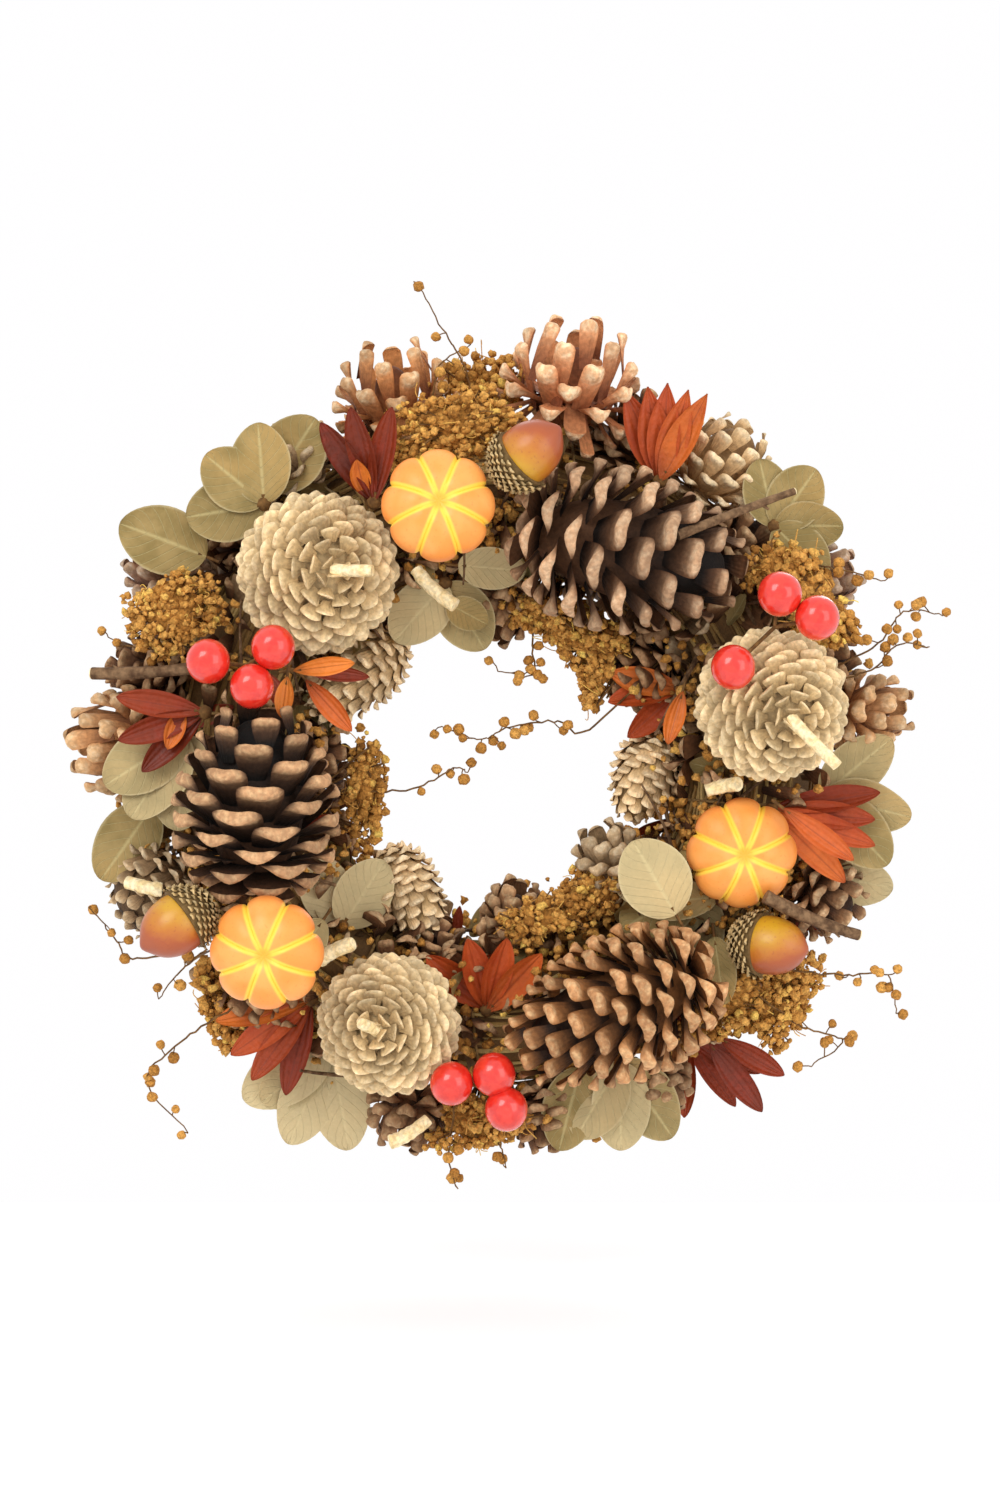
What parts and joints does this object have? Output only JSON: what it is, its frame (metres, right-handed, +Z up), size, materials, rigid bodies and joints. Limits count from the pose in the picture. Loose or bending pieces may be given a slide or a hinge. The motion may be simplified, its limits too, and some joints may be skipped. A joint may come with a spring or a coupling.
{
  "type": "harvest door wreath",
  "caption": "Hanging wreath of cones, dried leaves, foam pumpkins, acorns and berries glued on a flat-backed straw ring, with a hinged wire hanging loop.",
  "frame": {"origin": "the hanging point: on the door's plane, at the height where a nail carries the inside of the wire loop", "axes": "+Z up, -Y out of the door towards the viewer, +Y into the door, +X to the viewer's right"},
  "size_m": [0.3009, 0.0953, 0.2963],
  "materials": {
    "straw": "pressed straw, dry and matt",
    "steel_wire": "plain drawn wire",
    "large_cone": "open scales, dark inside with pale tan tips",
    "round_cone": "closed grey-olive scales, matt",
    "small_cone": "open brown scales with pale edges",
    "eucalyptus_leaf": "dried grey-green leaf, matt",
    "rust_leaf": "dyed dried leaf, satin",
    "dried_buds": "small golden-brown dried buds",
    "pumpkin_skin": "painted foam, satin, yellow grooves",
    "acorn_nut": "painted foam, orange to yellow",
    "acorn_cup": "rough scaly cup",
    "berry": "high gloss red lacquer"
  },
  "bodies": {
    "wreath": {"acorn_cup_left": "acorn_cup", "acorn_cup_right": "acorn_cup", "acorn_cup_top": "acorn_cup", "acorn_nut_left": "acorn_nut", "acorn_nut_right": "acorn_nut", "acorn_nut_top": "acorn_nut", "base_ring": "straw", "berry_pick_bottom": "berry", "berry_pick_left": "berry", "berry_pick_right": "berry", "bud_clump_inner_top": "dried_buds", "bud_clump_left": "dried_buds", "bud_clump_lower_left": "dried_buds", "bud_clump_lower_right": "dried_buds", "bud_clump_right": "dried_buds", "bud_clump_top": "dried_buds", "edge_cone_bottom": "small_cone", "edge_cone_left": "small_cone", "edge_cone_lower_left": "small_cone", "edge_cone_lower_right": "small_cone", "edge_cone_right": "small_cone", "edge_cone_top": "small_cone", "edge_cone_top_far_left": "small_cone", "edge_cone_top_left": "small_cone", "edge_cone_top_right": "small_cone", "edge_cone_upper_left": "small_cone", "edge_cone_upper_right": "small_cone", "eucalyptus_sprig_bottom_left": "eucalyptus_leaf", "eucalyptus_sprig_bottom_right": "eucalyptus_leaf", "eucalyptus_sprig_inner_left": "eucalyptus_leaf", "eucalyptus_sprig_inner_right": "eucalyptus_leaf", "eucalyptus_sprig_left": "eucalyptus_leaf", "eucalyptus_sprig_lower_left": "eucalyptus_leaf", "eucalyptus_sprig_right": "eucalyptus_leaf", "eucalyptus_sprig_top_left": "eucalyptus_leaf", "eucalyptus_sprig_top_right": "eucalyptus_leaf", "hanger_staple": "steel_wire", "inner_cone_bottom": "small_cone", "inner_cone_lower_left": "small_cone", "inner_cone_right": "small_cone", "inner_cone_top": "small_cone", "inner_cone_upper_left": "small_cone", "open_cone_left": "large_cone", "open_cone_lower_right": "large_cone", "open_cone_upper_right": "large_cone", "pumpkin_left": "pumpkin_skin", "pumpkin_right": "pumpkin_skin", "pumpkin_top": "pumpkin_skin", "round_cone_lower_left": "round_cone", "round_cone_right": "round_cone", "round_cone_upper_left": "round_cone", "rust_sprig_bottom": "rust_leaf", "rust_sprig_inner_right": "rust_leaf", "rust_sprig_left": "rust_leaf", "rust_sprig_lower_left": "rust_leaf", "rust_sprig_lower_right": "rust_leaf", "rust_sprig_right": "rust_leaf", "rust_sprig_top_left": "rust_leaf", "rust_sprig_top_right": "rust_leaf"},
    "hanging_loop": {"hanging_loop": "steel_wire"}
  },
  "joints": [
    {"name": "loop_swing", "type": "hinge", "parent": "wreath", "child": "hanging_loop", "pos_m": [0, -0.006, -0.016], "axis": [-1, 0, 0], "range_deg": [0, 100]}
  ]
}
